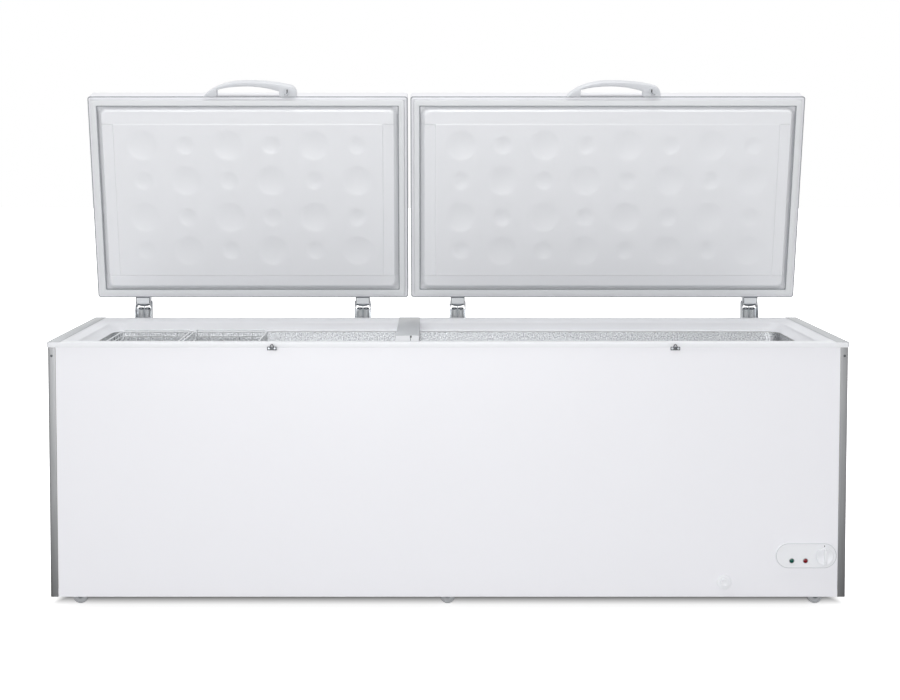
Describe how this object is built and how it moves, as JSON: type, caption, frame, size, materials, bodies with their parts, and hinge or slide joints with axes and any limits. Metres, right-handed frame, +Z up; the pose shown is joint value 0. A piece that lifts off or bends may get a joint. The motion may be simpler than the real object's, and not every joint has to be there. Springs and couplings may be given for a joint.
{
  "type": "chest freezer",
  "caption": "Wide chest freezer on casters with two lids side by side that stand open, hanging wire baskets, a centre divider and a front thermostat.",
  "frame": {"origin": "on the floor, under the middle of the whole freezer's outline with its lids open", "axes": "+X along the front to the right as seen from the front, +Y to the back, +Z up"},
  "size_m": [2.296, 0.765, 1.5446],
  "materials": {
    "white_enamel": "gloss white enamel on sheet steel",
    "white_plastic": "white moulded plastic, satin",
    "grey_plastic": "dark grey moulded plastic",
    "guard_steel": "brushed stainless sheet",
    "strip_metal": "satin anodised strip",
    "liner_aluminium": "stucco-embossed sheet",
    "insulating_foam": "foamed-in polyurethane",
    "green_lens": "clear green lens",
    "red_lens": "clear red lens",
    "black_paint": "satin black enamel",
    "copper_tube": "drawn copper tube",
    "gasket_rubber": "soft grey-white vinyl",
    "coated_wire": "white plastic-coated wire",
    "base_steel": "galvanised sheet",
    "zinc_plated_steel": "bright zinc plate",
    "wheel_plastic": "black nylon"
  },
  "bodies": {
    "cabinet": {"front_panel": "white_enamel", "left_side_panel": "white_enamel", "right_side_panel": "white_enamel", "back_panel": "white_enamel", "cord_gland": "grey_plastic", "base_panel": "base_steel", "left_corner_guard": "guard_steel", "right_corner_guard": "guard_steel", "rim_collar": "white_plastic", "left_rim_strip": "strip_metal", "right_rim_strip": "strip_metal", "centre_divider": "white_plastic", "divider_strip": "strip_metal", "inner_liner": "liner_aluminium", "insulation_foam": "insulating_foam", "drain_pipe": "grey_plastic", "control_console": "white_plastic", "green_power_lamp": "green_lens", "red_alarm_lamp": "red_lens", "thermostat": "grey_plastic", "compressor": "black_paint", "condenser_coil": "black_paint", "evaporator_coil": "copper_tube", "left_lock_strike": "zinc_plated_steel", "left_lid_hinge_1_channel": "zinc_plated_steel", "left_lid_hinge_2_channel": "zinc_plated_steel", "right_lock_strike": "zinc_plated_steel", "right_lid_hinge_1_channel": "zinc_plated_steel", "right_lid_hinge_2_channel": "zinc_plated_steel"},
    "left_lid": {"left_lid_shell": "white_enamel", "left_lid_liner": "white_plastic", "left_lid_gasket": "gasket_rubber", "left_lid_handle": "white_plastic", "left_lid_hinge_1_leaf": "zinc_plated_steel", "left_lid_hinge_2_leaf": "zinc_plated_steel"},
    "left_lock": {"left_lock_cylinder": "zinc_plated_steel"},
    "right_lid": {"right_lid_shell": "white_enamel", "right_lid_liner": "white_plastic", "right_lid_gasket": "gasket_rubber", "right_lid_handle": "white_plastic", "right_lid_hinge_1_leaf": "zinc_plated_steel", "right_lid_hinge_2_leaf": "zinc_plated_steel"},
    "right_lock": {"right_lock_cylinder": "zinc_plated_steel"},
    "knob": {"thermostat_knob": "white_plastic"},
    "drain_plug": {"drain_cap": "white_plastic"},
    "left_basket": {"left_wire_basket": "coated_wire"},
    "right_basket": {"right_wire_basket": "coated_wire"},
    "front_left_fork": {"front_left_caster_fork": "zinc_plated_steel"},
    "front_left_wheel": {"front_left_caster_wheel": "wheel_plastic"},
    "rear_left_fork": {"rear_left_caster_fork": "zinc_plated_steel"},
    "rear_left_wheel": {"rear_left_caster_wheel": "wheel_plastic"},
    "front_middle_fork": {"front_middle_caster_fork": "zinc_plated_steel"},
    "front_middle_wheel": {"front_middle_caster_wheel": "wheel_plastic"},
    "rear_middle_fork": {"rear_middle_caster_fork": "zinc_plated_steel"},
    "rear_middle_wheel": {"rear_middle_caster_wheel": "wheel_plastic"},
    "front_right_fork": {"front_right_caster_fork": "zinc_plated_steel"},
    "front_right_wheel": {"front_right_caster_wheel": "wheel_plastic"},
    "rear_right_fork": {"rear_right_caster_fork": "zinc_plated_steel"},
    "rear_right_wheel": {"rear_right_caster_wheel": "wheel_plastic"}
  },
  "joints": [
    {"name": "left_lid_hinge", "type": "hinge", "parent": "cabinet", "child": "left_lid", "pos_m": [-0.6315, 0.3431, 0.815], "axis": [-1, 0, 0], "range_deg": [-78, 0], "stiffness_Nm_per_rad": 12, "springref_deg": 34.38},
    {"name": "right_lid_hinge", "type": "hinge", "parent": "cabinet", "child": "right_lid", "pos_m": [0.518, 0.3431, 0.815], "axis": [-1, 0, 0], "range_deg": [-78, 0], "stiffness_Nm_per_rad": 12, "springref_deg": 34.38},
    {"name": "left_lock_turn", "type": "hinge", "parent": "left_lid", "child": "left_lock", "pos_m": [-0.502, 0.18064, 1.50715], "axis": [0, 0.9781, 0.2079], "range_deg": [0, 90]},
    {"name": "right_lock_turn", "type": "hinge", "parent": "right_lid", "child": "right_lock", "pos_m": [0.647, 0.18064, 1.50715], "axis": [0, 0.9781, 0.2079], "range_deg": [0, 90]},
    {"name": "thermostat_turn", "type": "hinge", "parent": "cabinet", "child": "knob", "pos_m": [1.083, -0.3705, 0.157], "axis": [0, 1, 0], "range_deg": [0, 270]},
    {"name": "drain_cap_pull", "type": "slide", "parent": "cabinet", "child": "drain_plug", "axis": [0, -1, 0], "range_m": [0, 0.03]},
    {"name": "left_basket_lift", "type": "slide", "parent": "cabinet", "child": "left_basket", "axis": [0, 0, 1], "range_m": [0, 0.24]},
    {"name": "right_basket_lift", "type": "slide", "parent": "cabinet", "child": "right_basket", "axis": [0, 0, 1], "range_m": [0, 0.24]},
    {"name": "front_left_swivel", "type": "hinge", "parent": "cabinet", "child": "front_left_fork", "pos_m": [-1.059, -0.2889, 0.05], "axis": [0, 0, 1], "continuous": true},
    {"name": "front_left_roll", "type": "hinge", "parent": "front_left_fork", "child": "front_left_wheel", "pos_m": [-1.073, -0.2889, 0.022], "axis": [0, 1, 0], "continuous": true},
    {"name": "rear_left_swivel", "type": "hinge", "parent": "cabinet", "child": "rear_left_fork", "pos_m": [-1.059, 0.2431, 0.05], "axis": [0, 0, 1], "continuous": true},
    {"name": "rear_left_roll", "type": "hinge", "parent": "rear_left_fork", "child": "rear_left_wheel", "pos_m": [-1.073, 0.2431, 0.022], "axis": [0, 1, 0], "continuous": true},
    {"name": "front_middle_swivel", "type": "hinge", "parent": "cabinet", "child": "front_middle_fork", "pos_m": [0.014, -0.2889, 0.05], "axis": [0, 0, 1], "continuous": true},
    {"name": "front_middle_roll", "type": "hinge", "parent": "front_middle_fork", "child": "front_middle_wheel", "pos_m": [0, -0.2889, 0.022], "axis": [0, 1, 0], "continuous": true},
    {"name": "rear_middle_swivel", "type": "hinge", "parent": "cabinet", "child": "rear_middle_fork", "pos_m": [0.014, 0.2431, 0.05], "axis": [0, 0, 1], "continuous": true},
    {"name": "rear_middle_roll", "type": "hinge", "parent": "rear_middle_fork", "child": "rear_middle_wheel", "pos_m": [0, 0.2431, 0.022], "axis": [0, 1, 0], "continuous": true},
    {"name": "front_right_swivel", "type": "hinge", "parent": "cabinet", "child": "front_right_fork", "pos_m": [1.087, -0.2889, 0.05], "axis": [0, 0, 1], "continuous": true},
    {"name": "front_right_roll", "type": "hinge", "parent": "front_right_fork", "child": "front_right_wheel", "pos_m": [1.073, -0.2889, 0.022], "axis": [0, 1, 0], "continuous": true},
    {"name": "rear_right_swivel", "type": "hinge", "parent": "cabinet", "child": "rear_right_fork", "pos_m": [1.087, 0.2431, 0.05], "axis": [0, 0, 1], "continuous": true},
    {"name": "rear_right_roll", "type": "hinge", "parent": "rear_right_fork", "child": "rear_right_wheel", "pos_m": [1.073, 0.2431, 0.022], "axis": [0, 1, 0], "continuous": true}
  ]
}
